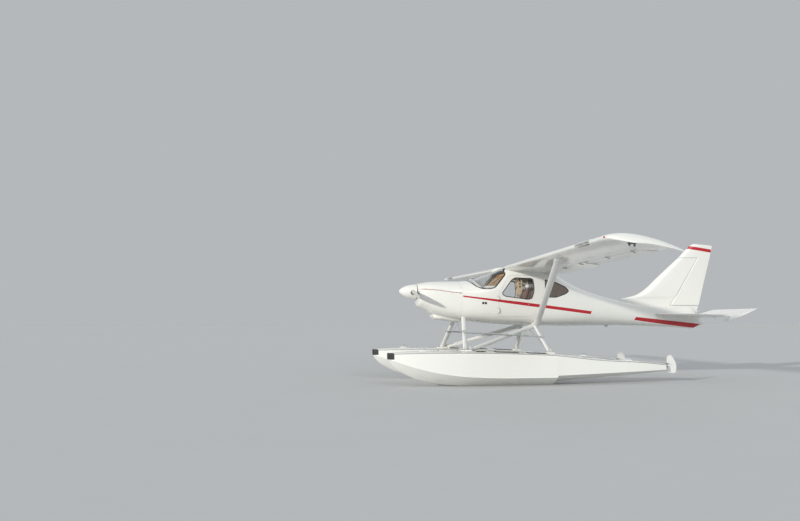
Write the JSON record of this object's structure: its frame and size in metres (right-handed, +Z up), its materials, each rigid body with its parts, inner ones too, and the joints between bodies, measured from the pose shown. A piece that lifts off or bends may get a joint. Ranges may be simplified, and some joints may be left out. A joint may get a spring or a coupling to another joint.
{
  "type": "two-seat high-wing floatplane",
  "caption": "High-wing light aeroplane on straight floats, with turning propeller, moving control surfaces, drooping flaps, hinged cabin doors and steering water rudders.",
  "frame": {"origin": "on the ground under the middle of the whole aeroplane, at the height of the floats' keels", "axes": "+X aft, +Y towards the right wing tip, +Z up"},
  "size_m": [7.197, 10.67, 2.832],
  "materials": {
    "gelcoat": "gloss white gelcoat",
    "wing_skin": "gloss white paint",
    "float_shell": "gloss white gelcoat",
    "strut_paint": "gloss white paint",
    "bare_metal": "satin",
    "blade_paint": "satin grey paint",
    "bumper_rubber": "matt",
    "glazing": "clear acrylic",
    "cage_paint": "satin tan paint",
    "dark_trim": "matt",
    "seat_cloth": "woven"
  },
  "bodies": {
    "airframe": {"cowling_upper": "gelcoat", "cowling_lower": "gelcoat", "fuselage_left": "gelcoat", "fuselage_right": "gelcoat", "wing_left": "wing_skin", "wing_right": "wing_skin", "wing_tip_left": "wing_skin", "wing_tip_right": "wing_skin", "stabilizer_left": "wing_skin", "stabilizer_right": "wing_skin", "float_left": "float_shell", "float_right": "float_shell", "lift_strut_left": "strut_paint", "lift_strut_right": "strut_paint", "float_strut_front_left": "strut_paint", "float_strut_front_right": "strut_paint", "float_strut_rear_left": "strut_paint", "float_strut_rear_right": "strut_paint", "float_strut_diagonal_left": "strut_paint", "float_strut_diagonal_right": "strut_paint", "spreader_bar_front": "strut_paint", "spreader_bar_rear": "strut_paint", "firewall": "bare_metal", "engine_block": "bare_metal", "control_sticks": "bare_metal", "step_bar_left": "bare_metal", "step_bar_right": "bare_metal", "bow_bumper_left": "bumper_rubber", "bow_bumper_right": "bumper_rubber", "windshield": "glazing", "rear_window_left": "glazing", "rear_window_right": "glazing", "cabin_cage": "cage_paint", "instrument_panel": "dark_trim", "cabin_floor": "dark_trim", "seat_left": "seat_cloth", "seat_right": "seat_cloth"},
    "propeller": {"propeller": "blade_paint", "spinner": "gelcoat"},
    "rudder": {"rudder": "gelcoat"},
    "elevator": {"elevator": "wing_skin"},
    "aileron_left": {"aileron_left": "wing_skin"},
    "aileron_right": {"aileron_right": "wing_skin"},
    "flap_left": {"flap_left": "wing_skin"},
    "flap_right": {"flap_right": "wing_skin"},
    "door_left": {"door_left": "gelcoat", "door_window_left": "glazing"},
    "door_right": {"door_right": "gelcoat", "door_window_right": "glazing"},
    "water_rudder_left": {"water_rudder_left": "strut_paint"},
    "water_rudder_right": {"water_rudder_right": "strut_paint"}
  },
  "joints": [
    {"name": "propeller_spin", "type": "hinge", "parent": "airframe", "child": "propeller", "pos_m": [-2.9455, 0, 1.791], "axis": [-0.999, 0, 0.0454], "continuous": true},
    {"name": "rudder_hinge", "type": "hinge", "parent": "airframe", "child": "rudder", "pos_m": [2.6245, 0, 1.522], "axis": [0.5364, 0, 0.844], "range_deg": [-25, 25]},
    {"name": "elevator_hinge", "type": "hinge", "parent": "airframe", "child": "elevator", "pos_m": [3.0725, 0, 1.282], "axis": [0, 1, 0], "range_deg": [-5, 45]},
    {"name": "aileron_left_hinge", "type": "hinge", "parent": "airframe", "child": "aileron_left", "pos_m": [-0.33674, -3.5, 2.24604], "axis": [0, -0.9999, 0.0166], "range_deg": [-20, 20]},
    {"name": "aileron_right_hinge", "type": "hinge", "parent": "airframe", "child": "aileron_right", "pos_m": [-0.33674, 3.5, 2.24604], "axis": [0, -0.9999, -0.0166], "range_deg": [-20, 20]},
    {"name": "flap_left_hinge", "type": "hinge", "parent": "airframe", "child": "flap_left", "pos_m": [-0.33674, -1.6, 2.21454], "axis": [0, 0.9999, -0.0166], "range_deg": [-8, 32]},
    {"name": "flap_right_hinge", "type": "hinge", "parent": "airframe", "child": "flap_right", "pos_m": [-0.33674, 1.6, 2.21454], "axis": [0, 0.9999, 0.0166], "range_deg": [-8, 32]},
    {"name": "door_left_hinge", "type": "hinge", "parent": "airframe", "child": "door_left", "pos_m": [-1.3265, -0.594, 1.525], "axis": [0, 0, -1], "range_deg": [0, 70]},
    {"name": "door_right_hinge", "type": "hinge", "parent": "airframe", "child": "door_right", "pos_m": [-1.3265, 0.594, 1.525], "axis": [0, 0, 1], "range_deg": [0, 70]},
    {"name": "water_rudder_left_post", "type": "hinge", "parent": "airframe", "child": "water_rudder_left", "pos_m": [1.8705, -1.083, 0.331], "axis": [0, 0, 1], "range_deg": [-25, 25]},
    {"name": "water_rudder_right_post", "type": "hinge", "parent": "airframe", "child": "water_rudder_right", "pos_m": [1.8705, 1.083, 0.331], "axis": [0, 0, 1], "range_deg": [-25, 25]}
  ],
  "couplings": [
    {"joint": "aileron_right_hinge", "follows": "aileron_left_hinge", "ratio": -1},
    {"joint": "flap_right_hinge", "follows": "flap_left_hinge", "ratio": 1},
    {"joint": "water_rudder_left_post", "follows": "rudder_hinge", "ratio": 1},
    {"joint": "water_rudder_right_post", "follows": "rudder_hinge", "ratio": 1}
  ]
}
